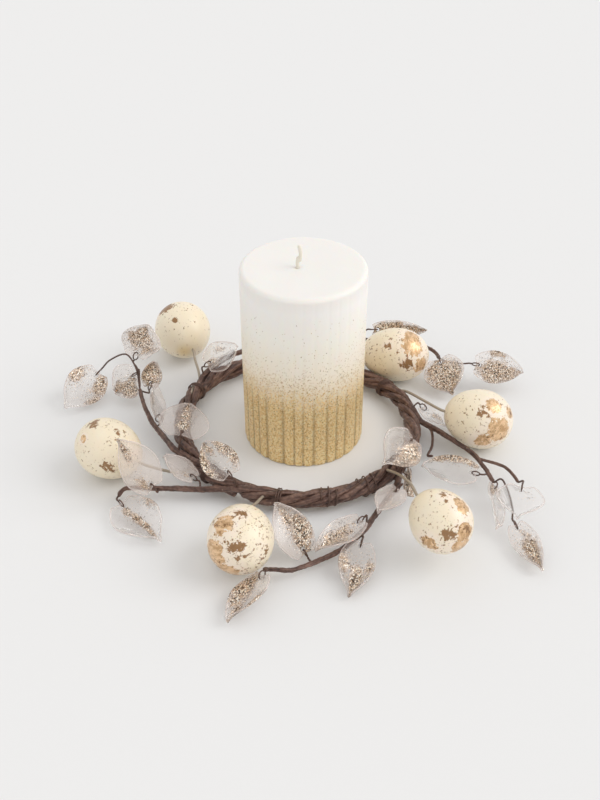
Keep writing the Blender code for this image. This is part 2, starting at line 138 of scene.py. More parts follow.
def makePiece(name, shells, finish, body, replaced=()):
    # one mesh of all the shells, with their marks as point attributes
    vertices, faces, marks, before = [], [], {}, 0
    for points, polygons, values in shells:
        vertices.append(points)
        faces += [face for group in polygons for face in (group + before).tolist()]
        before += len(points)
        for key, value in values.items():
            marks.setdefault(key, []).append(value)
    mesh = bpy.data.meshes.new(name)
    mesh.from_pydata(np.vstack(vertices).tolist(), [], faces)
    for key, values in marks.items():
        layer = mesh.attributes.new(key, "FLOAT", "POINT")
        layer.data.foreach_set("value", np.concatenate(values).astype(np.float32))
    mesh.shade_smooth()
    mesh.materials.append(finish)
    piece = bpy.data.objects.new(name, mesh)
    bpy.context.scene.collection.objects.link(piece)
    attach(piece, body)
    if replaced:
        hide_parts(*replaced)


def named(keys, rows):
    # each row's values under the keys, with the row's own dictionary added where it has one
    return {name: {**dict(zip(keys, row)), **dict(*row[len(keys):])} for name, row in rows.items()}


# shader nodes, written as expressions

class Value:
    def __init__(self, finish, socket):
        self.finish, self.socket = finish, socket

    def __add__(self, other):
        return self.finish.math("ADD", self, other)

    def __sub__(self, other):
        return self.finish.math("SUBTRACT", self, other)

    def __rsub__(self, other):
        return self.finish.math("SUBTRACT", other, self)

    def __mul__(self, other):
        return self.finish.math("MULTIPLY", self, other)

    def __pow__(self, other):
        return self.finish.math("POWER", self, other)

    def __lt__(self, other):
        return self.finish.math("LESS_THAN", self, other)

    def __gt__(self, other):
        return self.finish.math("GREATER_THAN", self, other)

    __radd__, __rmul__ = __add__, __mul__


class Finish:
    # one material: its Principled shader, and calls that add nodes round it
    def __init__(self, name, **constants):
        self.material = bpy.data.materials.new(name)
        self.material.use_nodes = True
        self.tree = self.material.node_tree
        self.shader = self.tree.nodes["Principled BSDF"]
        self.output = self.tree.nodes["Material Output"]
        self.setShader(self.shader, constants)
        self.place = self.add("ShaderNodeTexCoord")["Object"]

    def setShader(self, shader, constants):
        for name, value in constants.items():
            shader.inputs[name.replace("_", " ")].default_value = value

    def add(self, kind, settings=None, sockets=None):
        node = self.tree.nodes.new(kind)
        for name, value in (settings or {}).items():
            if name == "stops":
                self.setStops(node.color_ramp, value)
            else:
                setattr(node, name, value)
        for key, value in (sockets or {}).items():
            if isinstance(value, Value):
                self.tree.links.new(value.socket, node.inputs[key])
            else:
                node.inputs[key].default_value = value
        found = {index: Value(self, socket) for index, socket in enumerate(node.outputs)}
        found.update({value.socket.name: value for value in found.values()})
        return found

    def setStops(self, ramp, stops):
        for _ in range(len(stops) - 2):
            ramp.elements.new(0.5)
        for element, (position, colour) in zip(ramp.elements, stops):
            element.position = position
            element.color = (*colour, 1)

    def math(self, operation, a, b):
        return self.add("ShaderNodeMath", {"operation": operation}, {0: a, 1: b})[0]

    def smooth(self, value, low, high, start=0.0, end=1.0):
        return self.add("ShaderNodeMapRange", {"interpolation_type": "SMOOTHSTEP"},
                        {0: value, 1: low, 2: high, 3: start, 4: end})[0]

    def most(self, a, b):
        return self.math("MAXIMUM", a, b)

    def noise(self, scale, detail=2.0, place=None, roughness=0.5):
        return self.add("ShaderNodeTexNoise", None, {
            "Vector": place or self.place, "Scale": scale, "Detail": detail,
            "Roughness": roughness})["Fac"]

    def cells(self, scale, place=None):
        return self.add("ShaderNodeTexVoronoi", None, {
            "Vector": place or self.place, "Scale": scale})

    def split(self, vector):
        found = self.add("ShaderNodeSeparateXYZ", None, {0: vector})
        return found[0], found[1], found[2]

    def mix(self, factor, a, b):
        return self.add("ShaderNodeMix", {"data_type": "RGBA"}, {0: factor, 6: a, 7: b})[2]

    def ramp(self, value, stops):
        return self.add("ShaderNodeValToRGB", {"stops": stops}, {0: value})["Color"]

    def mark(self, name):
        return self.add("ShaderNodeAttribute", {"attribute_name": name})["Fac"]

    def bump(self, height, strength, distance, normal=None):
        sockets = {"Height": height, "Strength": strength, "Distance": distance}
        if normal is not None:
            sockets["Normal"] = normal
        return self.add("ShaderNodeBump", None, sockets)["Normal"]

    def feed(self, **values):
        for name, value in values.items():
            self.tree.links.new(value.socket, self.shader.inputs[name.replace("_", " ")])


def rgb(red, green, blue):
    return (red, green, blue, 1)


# candle

candleLook = {
    "radius": 37.5 * mm, "height": 120 * mm, "rim": 3 * mm, "foot": 1 * mm,
    "flutes": 32, "fluteDepth": 0.75 * mm, "fluteSamples": 12, "unevenness": 0.17,
    "wickOffset": -3.5 * mm, "hole": 1.4 * mm, "plate": 10.3 * mm, "plateDepth": 0.9 * mm,
    "collar": 2.7 * mm, "collarDepth": 4.5 * mm, "dish": 0.5 * mm,
    "flake": 0.6 * mm, "speck": 0.85 * mm, "climb": 1 * mm, "drift": 14 * mm,
    # the wax between the flakes at each height in mm
    "wax": [(40, (0.88, 0.72, 0.49)), (55, (0.90, 0.78, 0.60)), (67, (0.91, 0.83, 0.70)),
            (91, (0.92, 0.89, 0.82)), (109, (0.92, 0.90, 0.87)), (118, (0.86, 0.84, 0.81))],
    # how much of the side is gold at each height in mm
    "cover": [(30, 1.0), (38, 0.88), (44, 0.66), (50, 0.42), (56, 0.26), (63, 0.15), (72, 0.07),
              (86, 0.025), (108, 0.0)],
    "gold": [(0.0, (0.34, 0.18, 0.05)), (0.2, (0.78, 0.52, 0.22)), (0.55, (0.98, 0.72, 0.35)),
             (1.0, (1.0, 0.93, 0.66))],
}


def candleProfile():
    # (centre offset, radius, height, share of the fluting) from the wick's hole over the top,
    # down the side, under the foot and up round the wick's plate to the hole again
    look = candleLook
    top, radius, rim, foot = look["height"], look["radius"], look["rim"], look["foot"]
    offset, hole = look["wickOffset"], look["hole"]
    rows = [np.array([[offset, hole, height, 0]])
            for height in np.linspace(30 * mm, top - 1 * mm, 6)]
    across = np.linspace(0, 1, 26)[:, None]
    dip = look["dish"] * (1 - ease(across / 0.9)) + 0.5 * mm * (1 - ease(across / 0.05))
    rows.append(np.hstack([offset * (1 - across), hole + (radius - rim - hole) * across,
                           top - dip, 0 * across]))
    round_ = np.linspace(0, math.pi / 2, 9)[1:, None]
    rows.append(np.hstack([0 * round_, radius - rim * (1 - np.sin(round_)),
                           top - rim * (1 - np.cos(round_)), 0.1 * round_]))
    height = np.linspace(top - rim, foot, 74)[1:, None]
    rows.append(np.hstack([0 * height, radius + 0 * height, height,
                           np.interp(height, [0, 0.3 * top, 0.45 * top, top - rim],
                                     [1, 0.8, 0.34, 0.16])]))
    round_ = np.linspace(0, math.pi / 2, 5)[1:, None]
    rows.append(np.hstack([0 * round_, radius - foot * (1 - np.cos(round_)),
                           foot * (1 - np.sin(round_)), 1 + 0 * round_]))
    plate, plateDepth = look["plate"], look["plateDepth"]
    collar, collarDepth = look["collar"], look["collarDepth"]
    rows.append(np.array([[offset * 0.3, 30 * mm, 0, 0.6], [offset * 0.7, 20 * mm, 0, 0],
                          [offset, plate, 0, 0], [offset, plate, plateDepth, 0],
                          [offset, collar, plateDepth, 0], [offset, collar, collarDepth, 0],
                          [offset, hole, collarDepth, 0]]))
    return np.vstack(rows)


def waxShell():
    # radius less a narrow groove between broad, slightly bulging ribs of uneven width
    look = candleLook
    profile = candleProfile()
    sides = look["flutes"] * look["fluteSamples"]
    angle = np.linspace(0, turn, sides, endpoint=False)
    count = look["flutes"]
    uneven = look["unevenness"] * (np.sin(5 * angle + 1) + np.sin(9 * angle + 2.6))
    phase = (count * angle / turn + uneven) % 1
    groove = np.exp(-(np.minimum(phase, 1 - phase) / 0.13) ** 2)
    bulge = 0.35 * (1 - np.sin(math.pi * phase))
    depth = look["fluteDepth"] * np.maximum(groove, bulge)[None, :] * profile[:, 3:4]
    radius = profile[:, 1:2] - depth
    points = np.stack([profile[:, 0:1] + radius * np.cos(angle), radius * np.sin(angle),
                       profile[:, 2:3] + 0 * radius], -1)
    onTop = (profile[:, 2] > look["height"] - 1.5 * mm)[:, None]
    points[..., 2] -= onTop * 0.12 * mm * (1 + ripple(points, 22 * mm, 5))
    # grooveShade marks the flutes' grooves, where the finish paints shade on the gold
    grooveShade = np.broadcast_to(np.exp(-(np.minimum(phase, 1 - phase) / 0.1) ** 2)[None, :],
                               radius.shape) * profile[:, 3:4]
    return shell(points, closed=True, groove=grooveShade)


def goldFlakes(finish, size, seed):
    # each cell is one flake: a chance shade, a chance tilt and a chance of being there
    shifted = finish.add("ShaderNodeMapping", None, {
        "Vector": finish.place, "Location": (seed * 0.037, seed * 0.011, seed * 0.023)})[0]
    cell = finish.cells(1 / size, shifted)
    colour = finish.split(cell["Color"])
    return cell["Distance"], colour[0], colour[1], colour[2]


def waxFinish():
    # gold where a flake's chance falls below the cover at its height, dark specks among it and
    # painted shade on the gold in the flutes' grooves, over wax that warms downwards
    look = candleLook
    finish = Finish("glitterWax", Subsurface_Weight=0.3, Subsurface_Scale=0.006,
                    Subsurface_Radius=(1.0, 0.6, 0.35), Coat_Roughness=0.3, IOR=1.44)
    across, _, height = finish.split(finish.place)
    groove = finish.mark("groove")
    drift = (finish.noise(22, 2) - 0.5) * look["drift"]
    climb = across * across * (look["climb"] / look["radius"] ** 2)
    level = (height + drift - climb) * (1 / look["height"])
    cover = finish.ramp(level, [(z * mm / look["height"], (part,) * 3)
                                for z, part in look["cover"]])
    reach, here, shade, tilt = goldFlakes(finish, look["flake"], 1)
    _, fineHere, fineShade, fineTilt = goldFlakes(finish, look["flake"] * 0.6, 2)
    speckReach, speckHere, _, _ = goldFlakes(finish, look["speck"], 3)
    coarse = (here < cover * 0.8) * (reach < finish.smooth(cover, 0.05, 0.5, 0.4, 1.2))
    fine = fineHere < cover ** 1.8 * 1.1
    gold = finish.most(coarse, fine)
    wax = finish.ramp(level, [(z * mm / look["height"], colour) for z, colour in look["wax"]])
    wax = finish.mix(finish.noise(35, 3) * 0.1, wax, rgb(0.84, 0.80, 0.70))
    flakes = finish.ramp(shade * 0.75 + fineShade * 0.25, look["gold"])
    flakes = finish.mix(finish.smooth(height, 48 * mm, 70 * mm, 0.0, 0.6), flakes,
                        rgb(0.24, 0.15, 0.06))
    specks = (speckHere < 0.13 * cover ** 0.8) * (speckReach < 0.34)
    # painted shade: the gold is darkened towards brown along the flutes' grooves; the dark specks
    # are the glitter's own
    flakes = finish.mix(finish.most(groove * 0.5, specks * 0.75), flakes, rgb(0.17, 0.09, 0.03))
    gold = finish.most(gold, specks)
    finish.feed(Base_Color=finish.mix(gold, wax, flakes), Metallic=gold * 0.45,
                Roughness=finish.smooth(gold, 0, 1, 0.5, 0.4))
    soft = finish.bump(finish.noise(180, 3), 0.2, 0.4 * mm)
    grains = finish.bump((tilt * 0.7 + fineTilt * 0.3) * gold, 0.7, 0.3 * mm, soft)
    finish.feed(Normal=grains)
    return finish.material


def makeCandle():
    makePiece("candle_wax", [waxShell()], waxFinish(), "candle", ["candle_body"])
    print("candle made")


# wick

wickLook = {
    "radius": 1.1 * mm, "foot": 0.9 * mm, "strands": 3, "relief": 0.16 * mm,
    "lay": 4.5 * mm, "cotton": rgb(0.80, 0.75, 0.64), "waxed": rgb(0.88, 0.83, 0.72),
    "bow": [(120, 0), (124, 1.4), (128, 1.8), (131.5, 1.3), (133.6, 0.7)],
}


def makeWick():
    # a round cord whose radius swells along two sets of crossing spiral strands
    look = wickLook
    centre = candleLook["wickOffset"]
    bow = [(centre + shift * mm, 0, height * mm) for height, shift in look["bow"]]
    path = smoothPath([(centre, 0, look["foot"]), (centre, 0, 60 * mm), *bow], 0.35 * mm)
    along = alongOf(path)
    radius = (look["radius"] - look["relief"]) * np.sqrt(
        np.clip((along[-1] - along) / (0.8 * mm), 0.15, 1))

    def braid(points, along, angle):
        one = np.sin(look["strands"] * angle - along * turn / look["lay"] * look["strands"])
        other = np.sin(look["strands"] * angle + along * turn / look["lay"] * look["strands"])
        return look["relief"] * np.maximum(one, other)

    finish = Finish("braidedCotton", Sheen_Weight=0.2, Sheen_Roughness=0.5)
    fibres = finish.noise(2600, 3)
    finish.feed(Base_Color=finish.mix(fibres, look["cotton"], look["waxed"]),
                Roughness=finish.smooth(fibres, 0.3, 0.7, 0.9, 0.6),
                Normal=finish.bump(fibres, 0.4, 0.15 * mm))
    rings = tubeRings(path, radius, 18, (0, 1, 0), braid)
    makePiece("wick_braid", [shell(rings)], finish.material, "candle", ["wick"])
    tin = Finish("tinPlate", Specular_IOR_Level=0.6)
    scratches = tin.noise(900, 2)
    tin.feed(Base_Color=tin.mix(scratches, rgb(0.62, 0.62, 0.60), rgb(0.42, 0.42, 0.41)),
             Metallic=tin.smooth(scratches, 0.2, 0.4, 0.85, 1.0),
             Roughness=tin.smooth(scratches, 0.3, 0.7, 0.25, 0.45),
             Normal=tin.bump(scratches, 0.2, 0.1 * mm))
    setNodeFinish("wick_sustainer", tin.material)
    print("wick made")


def setNodeFinish(node, material):
    # a carried-over node keeps its mesh and takes a new material
    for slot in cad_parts[node].material_slots:
        slot.link = "OBJECT"
        slot.material = material


# the ring's hoop and sprigs

hoopLook = {
    "height": 8.2 * mm, "wire": 2.2 * mm, "turns": 7, "rough": 0.15 * mm, "rings": 420,
    # where the strands of no sprig lie: from and to in degrees, phase and radius in mm
    "rest": [(-180, 180, 220, 1.9), (-117, 152, 85, 1.75), (-32, 7, 0, 1.8), (145, 212, 0, 1.7),
             (13, 237, 155, 1.8), (113, 322, 280, 1.9)],
    "outline": [(-180, 77.5), (-140, 77.5), (-100, 76), (-60, 74), (-20, 71), (15, 67),
                (45, 62), (80, 62), (115, 69), (150, 76)],
}

sprigLook = {
    "wound": 3.45 * mm, "strand": 2.1 * mm, "leaving": 1.85 * mm, "end": 1.1 * mm,
    "step": 0.62 * mm, "sides": 26, "tape": 11 * mm, "tapeEdge": 0.2 * mm, "wrinkle": 0.2 * mm,
    "crease": 0.21 * mm, "lump": 0.05,
    "bark": [(0.008, 0.004, 0.003), (0.036, 0.017, 0.012), (0.098, 0.047, 0.033),
             (0.22, 0.125, 0.09)],
}

# where each sprig is wound on and leaves the hoop, its phase, and its free end in mm
sprigs = {
    "a": {"on": -30, "off": -150, "phase": 350, "free": [
        (-80, -31, 9), (-88, -18, 9), (-96, -6, 10), (-103, 9, 13), (-107, 22, 16)]},
    "b": {"on": 15, "off": -125, "phase": 155, "free": [
        (-61, -67, 8), (-84, -66, 8), (-104, -66, 8), (-109, -71, 6)]},
    "c": {"on": 115, "off": -40, "phase": 280, "free": [
        (55, -63, 7), (48, -75, 6), (41, -87, 6), (35, -98, 6), (27, -108, 6), (16, -118, 6),
        (-4, -129, 6), (-16, -131, 8), (-22, -131, 8)]},
    "d": {"on": 147, "off": 5, "phase": 10, "free": [
        (75, -4, 9), (84, -15, 11), (94, -28, 12), (103, -39, 12), (108, -49, 11), (113, -61, 8)],
        "twigs": [([(106, -44, 12), (115, -48, 12), (121, -52, 12), (125, -58, 11),
                    (127, -63, 10)], 0.9),
                  ([(79, -9, 10), (81, -15, 8), (80, -25, 6), (77, -31, 4), (80, -33, 5)], 0.8)]},
    "e": {"on": 240, "off": 155, "phase": 85, "free": [
        (-66, 43, 12.5), (-55, 59, 13), (-43, 69, 13), (-20, 80, 13), (10, 85, 13), (40, 84, 13),
        (62, 82, 12), (79, 78, 13), (90, 68, 14), (93, 59, 14)]},
}


def hoopRadius(azimuth):
    # Catmull-Rom through the closed outline, read at each azimuth
    stops, radii = np.array(hoopLook["outline"], float).T
    count = len(stops)
    azimuth = (np.asarray(azimuth, float) + 180) % 360 - 180
    index = np.searchsorted(stops, azimuth, side="right") - 1
    ends = np.r_[stops[1:], 180.0]
    t = (azimuth - stops[index]) / (ends[index] - stops[index])
    a, b, c, d = (radii[(index + k) % count] for k in (-1, 0, 1, 2))
    return mm * 0.5 * (2 * b + (c - a) * t + (2 * a - 5 * b + 4 * c - d) * t ** 2
                       + (3 * b - a - 3 * c + d) * t ** 3)


def onHoop(azimuth, distance=0.0, phase=0.0):
    # beside the hoop's middle line; phase 0 is outwards and 90 is up
    azimuth, phase = np.broadcast_arrays(np.asarray(azimuth, float), phase)
    around, angle = np.radians(azimuth), np.radians(phase)
    radius = hoopRadius(azimuth) + distance * np.cos(angle)
    return np.stack([radius * np.cos(around), radius * np.sin(around),
                     hoopLook["height"] + distance * np.sin(angle)], -1)


def winding(start, end, phase, distance, step):
    # a spiral round the hoop: its phase grows by the hoop's turns times the azimuth
    azimuth = np.linspace(start, end, max(3, round(abs(end - start) / step) + 1))
    return onHoop(azimuth, distance, hoopLook["turns"] * azimuth + phase)


def sprigPath(letter):
    # the wound part and then the free part, with the length at which it leaves the hoop
    sprig = sprigs[letter]
    wound = winding(sprig["on"], sprig["off"], sprig["phase"], sprigLook["wound"], 5.5)
    free = np.array(sprig["free"]) * mm
    path = smoothPath(np.vstack([wound, free]), sprigLook["step"])
    gap = np.linalg.norm(path - wound[-1], axis=1).argmin()
    return path, alongOf(path)[gap]


def paperTape(seed, size=1.0):
    # each turn of tape has a raised edge, creases along the strand, small wrinkles and lumps
    look = sprigLook

    def relief(points, along, angle):
        turnOf = (along / (look["tape"] * size) + angle / turn) % 1
        edge = look["tapeEdge"] * turnOf ** 5
        wrinkle = look["wrinkle"] * (0.6 * ripple(points, 3.4 * mm * size, seed)
                                     + 0.4 * ripple(points, 1.6 * mm * size, seed + 1))
        lump = look["lump"] * look["strand"] * ripple(points, 14 * mm, seed + 2)
        wander = 1.6 * ripple(points, 25 * mm, seed + 3)
        crease = look["crease"] * np.sin(5 * angle + along / (6 * mm) + wander) \
            * np.sin(2 * angle + wander)
        return (edge + wrinkle + lump + crease) * size

    return relief


def closedEnds(path, radius, round_=1.2 * mm):
    # the radius shrinks as the square root of the length left to either end
    along = alongOf(path)
    near = np.minimum(along, along[-1] - along)
    return radius * np.sqrt(np.clip(near / round_, 0.1, 1))


def barkFinish():
    # brown crepe paper: streaks along the wrap, pale glossy specks and painted shade that darkens
    # the deep folds of the relief
    finish = Finish("paperTape", Sheen_Weight=0.15, Sheen_Roughness=0.4, Coat_Roughness=0.25)
    broad = finish.noise(90, 4)
    grain = finish.noise(700, 4, roughness=0.65)
    fold = finish.mark("fold")
    # painted shade: fold darkens the paper where its relief lies deep
    shade = broad * 0.5 + grain * 0.45 + fold * 0.35
    colour = finish.ramp(shade, list(zip((0.2, 0.42, 0.62, 0.9), sprigLook["bark"])))
    specks = finish.cells(420)
    bright = (specks["Distance"] < 0.16) * (finish.split(specks["Color"])[0] > 0.86)
    colour = finish.mix(bright * 0.5, colour, rgb(0.55, 0.42, 0.33))
    finish.feed(Base_Color=colour, Roughness=finish.smooth(grain, 0.3, 0.7, 0.62, 0.34),
                Coat_Weight=bright * 0.6,
                Normal=finish.bump(grain, 0.75, 0.5 * mm))
    return finish.material


def wrapped(path, radius, sides, seed, size=1.0, reference=(0, 0, 1)):
    # fold is the height of the relief, so that the paint can darken what lies deep as painted shade
    rings = tubeRings(path, radius, sides, reference, paperTape(seed, size))
    depth = np.linalg.norm(rings - path[:, None], axis=2) - np.asarray(radius).reshape(-1, 1)
    return shell(rings, fold=np.clip(0.5 + depth / (0.5 * mm * size), 0, 1))


def makeRing(bark):
    look = hoopLook
    azimuth = np.linspace(-180, 180, look["rings"], endpoint=False)
    path = onHoop(azimuth)
    outward = np.stack([np.cos(np.radians(azimuth)), np.sin(np.radians(azimuth)),
                        0 * azimuth], 1)
    angle = np.linspace(0, turn, 20, endpoint=False)[None, :, None]
    out = outward[:, None] * np.cos(angle) + np.array([0, 0, 1]) * np.sin(angle)
    rough = look["rough"] * ripple(path[:, None] + out * look["wire"], 4 * mm, 3)
    rings = path[:, None] + out * (look["wire"] + rough)[..., None]
    # the hoop's wire takes one middle value of the painted depth shade
    shells = [shell(rings, closed=True, fold=0.4)]
    for number, (start, end, phase, radius) in enumerate(look["rest"]):
        path = evenly(winding(start, end, phase, sprigLook["wound"] - 0.1 * mm, 1), 0.7 * mm)
        shells.append(wrapped(path, closedEnds(path, radius * mm, 2 * mm), 20, 300 + 7 * number))
    makePiece("hoop_wrapped", shells, bark, "wreath", ["ring_hoop"])
    for number, letter in enumerate(sprigs):
        path, leaves = sprigPath(letter)
        along = alongOf(path)
        taper = np.clip((along - leaves) / (along[-1] - leaves), 0, 1)
        radius = np.interp(taper, [0, 0.12, 1], [sprigLook[key] for key in
                                                 ("strand", "leaving", "end")])
        shells = [wrapped(path, closedEnds(path, radius), sprigLook["sides"], 10 * number + 20)]
        for points, thick in sprigs[letter].get("twigs", []):
            twig = smoothPath(np.array(points) * mm, 0.6 * mm)
            shells.append(wrapped(twig, closedEnds(twig, thick * mm, 0.8 * mm), 16,
                                  10 * number + 25, 0.5, None))
        makePiece(f"sprig_{letter}_wrapped", shells, bark, "wreath",
                  [f"sprig_{letter}_stem"])
    print("ring made")


# binding wires

bindingLook = {
    "wire": 0.4 * mm, "lift": 0.25 * mm, "tuck": 0.25, "wave": 0.03,
    "colour": rgb(0.055, 0.026, 0.018),
    # azimuth, turns and pitch in mm of each binding
    "places": [(157, 3.2, 1.1), (86, 3, 1.2), (32, 3.6, 1.3), (-137, 3, 1.2), (-101, 3, 1.3),
               (-41, 3.3, 3.4), (-79, 2.3, 4.4), (-60, 2.3, 4.8)],
}


def wireFinish(name, dark, pale):
    finish = Finish(name, Specular_IOR_Level=0.6)
    grain = finish.noise(1500, 3)
    finish.feed(Base_Color=finish.mix(grain, dark, pale),
                Metallic=finish.smooth(grain, 0.2, 0.8, 0.15, 0.35),
                Roughness=finish.smooth(grain, 0.3, 0.7, 0.5, 0.3),
                Normal=finish.bump(grain, 0.35, 0.15 * mm))
    return finish.material


def bindings(wire):
    # a spiral round the bundle of strands, its ends tucked in
    for number, (azimuth, turns, pitch) in enumerate(bindingLook["places"], 1):
        t = np.linspace(-turns / 2, turns / 2, int(36 * turns))
        around = 360 * t + 60 * number
        reach = sprigLook["wound"] + sprigLook["strand"] + bindingLook["lift"]
        tuck = 1 - bindingLook["tuck"] * ease((np.abs(t) - turns / 2 + 0.18) / 0.18)
        wave = 1 + bindingLook["wave"] * np.sin(3 * np.radians(around) + number)
        middle = azimuth + np.degrees(t * pitch * mm / hoopRadius(azimuth))
        path = onHoop(middle, reach * tuck * wave, around)
        rings = tubeRings(path, np.full(len(path), bindingLook["wire"]), 10,
                          (-math.sin(math.radians(azimuth)), math.cos(math.radians(azimuth)), 0))
        makePiece(f"binding_{number}_wound", [shell(rings)], wire, "wreath",
                  [f"binding_wire_{number}"])
    print("bindings made")


# eggs

eggLook = {"rings": 72, "sides": 96, "swell": 0.07, "dent": 0.004,
           "cream": rgb(0.86, 0.74, 0.53), "pale": rgb(0.91, 0.82, 0.66),
           "foil": rgb(0.86, 0.60, 0.36), "deepFoil": rgb(0.54, 0.33, 0.16),
           "brown": rgb(0.25, 0.13, 0.06), "stain": rgb(0.80, 0.52, 0.10),
           "blush": rgb(0.93, 0.80, 0.69)}

# each egg's centre in mm; heading and pitch of its long axis away from the stem; width and length
# in mm; where its stem is wound on and leaves the hoop, with the phase; points in mm that the stem
# passes; speckle; and its patches: how far right and up on the egg as met from the front, their
# size, and how much is orange and brown; the first is tinted with the stain and not the blush
eggs = named(("centre", "heading", "pitch", "size", "wound", "via", "speckle", "patches"), {
    1: ((-84, 84, 20.5), 113, 8, (38, 42), (163, 151, 30), [(-71, 49, 10), (-74, 58, 14)], 0.1,
        [(-0.6, 0.74, 0.34, 0.1, 1.6), (-0.2, 0.31, 0.13, 0.0, 1.6), (0.1, -0.76, 0.36, 0.3, 0.0),
        (0.35, 0.85, 0.25, 0.0, 0.5)], {"tint": "stain"}),
    2: ((62, 57, 19), -8, 0, (36, 46), (92, 80, 194), [(20, 67, 12), (32, 64, 17)], 0.3,
        [(0.52, 0.28, 0.5, 0.95, 0.2), (0.5, 0.65, 0.34, 1.0, 0.1), (0.75, -0.35, 0.36, 0.9, 0.4),
        (0.3, -0.35, 0.3, 0.5, 0.9), (-0.3, 0.3, 0.26, 0.5, 0.6)]),
    3: ((109, -14, 19.5), -8, -10, (37, 43), (38, 26, 188), [(68, 24, 12), (77, 5, 19)], 0.3,
        [(0.5, -0.35, 0.55, 0.95, 0.3), (0.35, 0.42, 0.36, 0.9, 0.3), (0.0, -0.72, 0.4, 0.9, 0.4),
        (-0.05, 0.28, 0.24, 0.4, 1.0), (0.85, 0.2, 0.3, 0.8, 0.5)]),
    4: ((-117, -43, 19), 155, 9, (36, 42), (-131, -143, 291),
        [(-75, -53, 9), (-86, -54, 12.5)], 0.25,
        [(-0.67, 0.34, 0.15, 1.2, 0.1), (-0.4, 0.8, 0.24, 0.1, 1.0), (0.1, -0.5, 0.26, 0.1, 0.9),
        (0.4, 0.62, 0.25, 0.1, 0.7), (0.85, -0.1, 0.4, 0.42, 0.2)]),
    5: ((-34, -119, 19.5), -95, 8, (36.5, 42), (-95, -107, 72),
        [(-27, -84, 13), (-31, -92, 16)], 0.5,
        [(-0.7, -0.3, 0.5, 1.0, 0.2), (-0.33, -0.8, 0.5, 1.0, 0.4), (-0.45, 0.5, 0.44, 0.95, 0.5),
        (-0.05, -0.15, 0.28, 0.6, 1.0), (0.0, 0.8, 0.3, 0.7, 0.9), (0.6, -0.3, 0.4, 0.3, 0.6)]),
    6: ((74, -114, 28), -58, -6, (33.5, 38), (-35, -47, 72), [(56, -64, 17), (61, -80, 24)], 0.35,
        [(0.6, 0.52, 0.42, 0.95, 0.4), (0.62, -0.25, 0.4, 0.9, 0.5), (-0.42, -0.62, 0.4, 0.85, 0.5),
        (0.5, -0.65, 0.42, 0.95, 0.4), (0.1, -0.3, 0.3, 0.2, 1.0), (0.05, 0.85, 0.26, 0.7, 0.8)]),
})
metFrom = 37  # degrees above the table for the patches' right and up


def eggAxes(egg):
    # columns: two directions across the egg, and its long axis away from the stem
    heading, pitch = math.radians(egg["heading"]), math.radians(egg["pitch"])
    long = np.array([math.cos(heading) * math.cos(pitch), math.sin(heading) * math.cos(pitch),
                     math.sin(pitch)])
    side = np.array([-math.sin(heading), math.cos(heading), 0])
    return np.stack([np.cross(side, long), side, long], 1)


def eggShell(egg):
    # an ellipsoid a little narrower at the stem: radius * (1 + swell * z), with faint dents
    width, length = (size / 2 * mm for size in egg["size"])
    polar = np.linspace(0, math.pi, eggLook["rings"])[1:-1, None]
    around = np.linspace(0, turn, eggLook["sides"], endpoint=False)[None, :]
    swell = 1 + eggLook["swell"] * np.cos(polar)
    local = np.stack([width * swell * np.sin(polar) * np.cos(around),
                      width * swell * np.sin(polar) * np.sin(around),
                      length * np.cos(polar) + 0 * around], -1)
    local *= 1 + eggLook["dent"] * ripple(local, 16 * mm, egg["heading"] + 400)[..., None]
    axes = eggAxes(egg)
    points = local @ axes.T + np.array(egg["centre"]) * mm
    up = math.radians(metFrom)
    right, towards = np.array([1, 0, 0]), np.array([0, -math.cos(up), math.sin(up)])
    above = np.array([0, math.sin(up), math.cos(up)])
    facing = unit(local @ axes.T)
    orange, brown = np.zeros(facing.shape[:2]), np.zeros(facing.shape[:2])
    chance = np.random.default_rng(egg["heading"] + 500)
    behind = [(*chance.uniform(-0.7, 0.7, 2), 0.35, *chance.uniform(0.2, 0.9, 2))
              for _ in range(4)]
    for index, (across, rise, size, orangeness, brownness) in enumerate(egg["patches"] + behind):
        sign = 1 if index < len(egg["patches"]) else -1
        depth = math.sqrt(max(0.02, 1 - across ** 2 - rise ** 2))
        middle = unit(right * across + above * rise + sign * towards * depth)
        near = np.exp(-((1 - facing @ middle) * 2 / size ** 2))
        orange, brown = np.maximum(orange, near * orangeness), np.maximum(brown, near * brownness)
    return shell(points, orange=orange, brown=brown)


